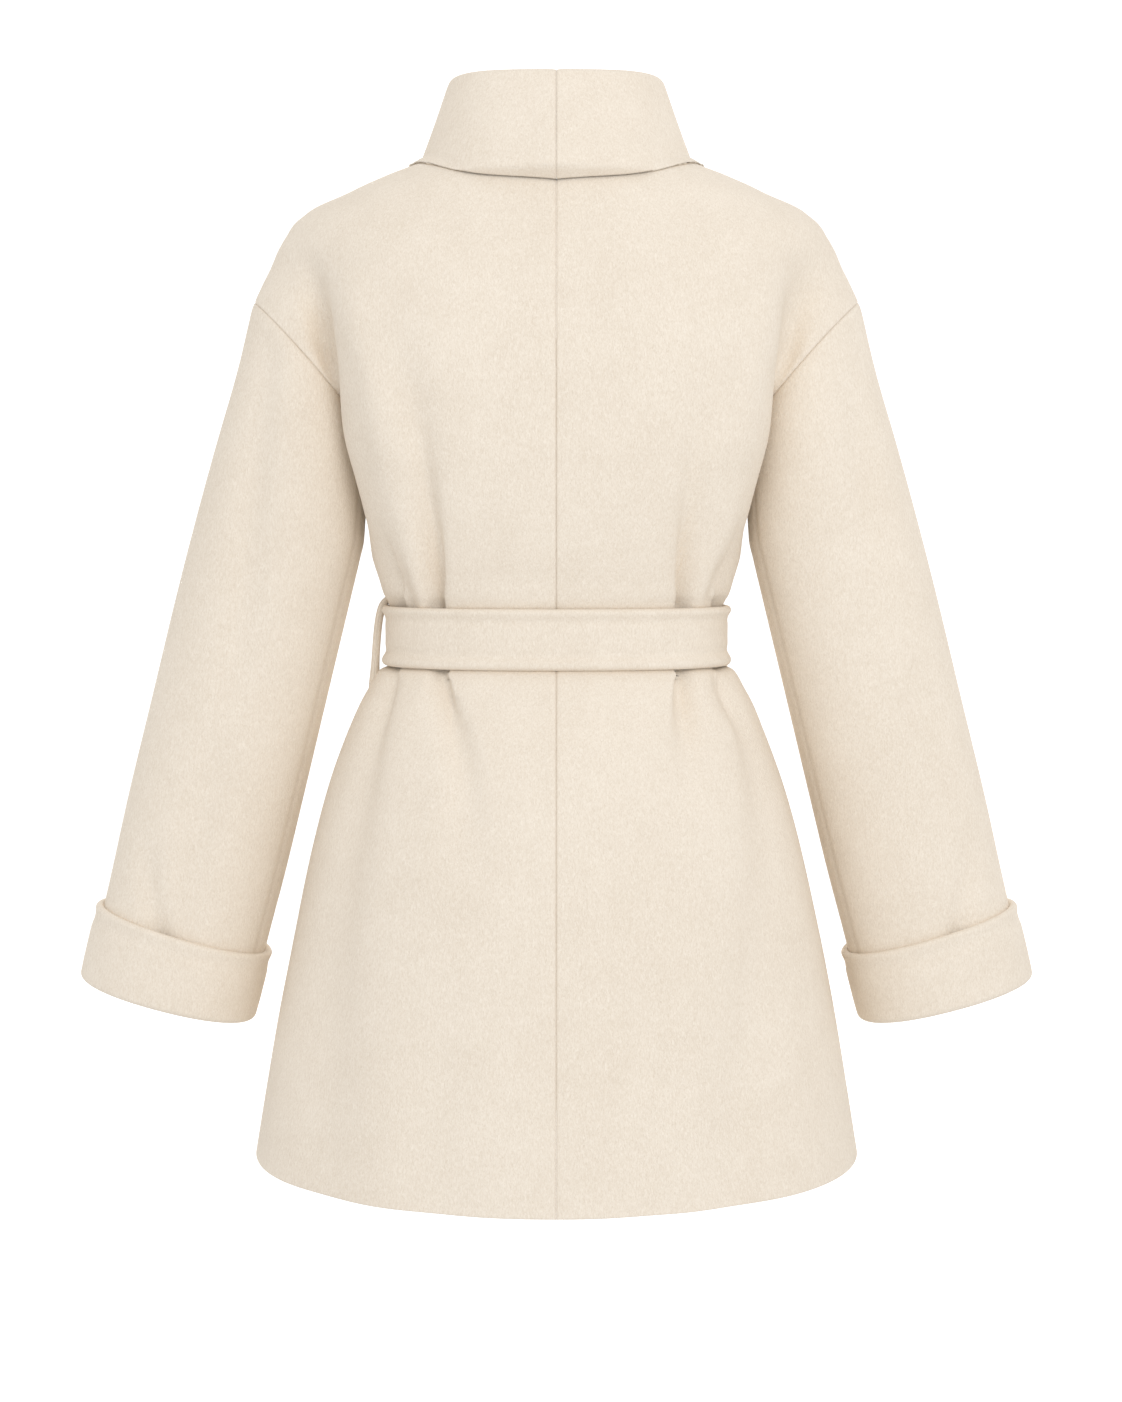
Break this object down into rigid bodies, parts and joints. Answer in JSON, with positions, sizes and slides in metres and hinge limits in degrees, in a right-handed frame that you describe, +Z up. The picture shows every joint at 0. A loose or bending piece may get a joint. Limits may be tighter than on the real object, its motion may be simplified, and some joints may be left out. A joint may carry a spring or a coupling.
{
  "type": "double-breasted coat",
  "caption": "Mid-length belted wool coat in double-breasted cut, with a high folded shawl collar, dropped shoulders, wide sleeves with turned-back cuffs and a tied belt. Worn form, hollow.",
  "frame": {"origin": "middle of the base of the neck, at the height of the shoulders' inner ends, where the wearer holds the coat up", "axes": "+Z up, the coat's front faces -Y, and the wearer's left is at +X"},
  "size_m": [0.7718, 0.3626, 0.8668],
  "materials": {
    "coat_cloth": "felted wool, matte",
    "collar_cloth": "felted wool, matte",
    "belt_cloth": "felted wool, matte",
    "buttons": "satin"
  },
  "bodies": {
    "root": {"back_left": "coat_cloth", "back_right": "coat_cloth", "front_left": "coat_cloth", "front_right": "coat_cloth", "sleeve_left": "coat_cloth", "sleeve_right": "coat_cloth", "cuff_left": "coat_cloth", "cuff_right": "coat_cloth", "collar_left": "collar_cloth", "collar_right": "collar_cloth", "belt": "belt_cloth", "belt_knot": "belt_cloth", "belt_end_left": "belt_cloth", "belt_end_right": "belt_cloth", "belt_loop_left": "belt_cloth", "belt_loop_right": "belt_cloth", "button_1": "buttons", "button_2": "buttons", "button_3": "buttons", "button_4": "buttons"}
  },
  "joints": []
}
